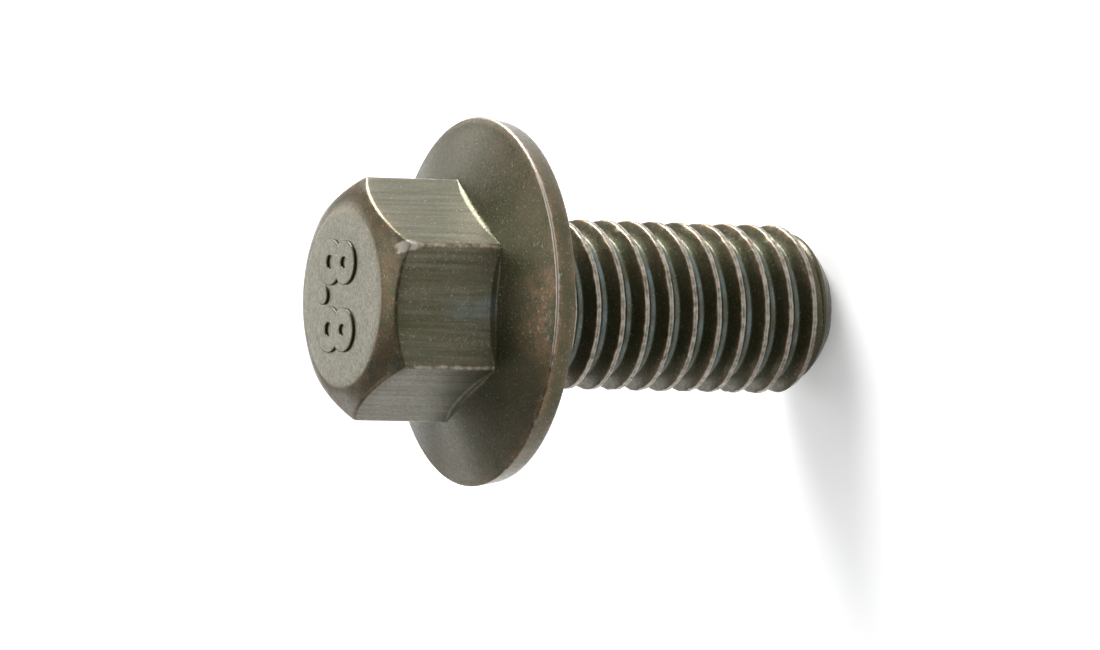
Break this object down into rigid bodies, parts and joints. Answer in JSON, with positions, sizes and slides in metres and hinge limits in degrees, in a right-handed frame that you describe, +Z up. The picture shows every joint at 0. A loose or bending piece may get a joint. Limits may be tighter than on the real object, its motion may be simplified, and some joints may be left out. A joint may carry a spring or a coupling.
{
  "type": "flange bolt",
  "caption": "Hexagon flange bolt standing on its point, head up: crowned hexagon head on a coned round flange, with a short coarse right-hand threaded shank and a rounded point.",
  "frame": {"origin": "on the floor, under the middle of the bolt's box, on the bolt's axis, with the bolt standing on the flat end of its point", "axes": "+Z up, from the point to the head, along the bolt's axis; -Y is the side the picture shows"},
  "size_m": [0.017, 0.017, 0.0242],
  "materials": {
    "olive_steel": "olive passivated steel, semi-gloss, worn bright on its edges and crests"
  },
  "bodies": {
    "root": {"flange_bolt": "olive_steel"}
  },
  "joints": []
}
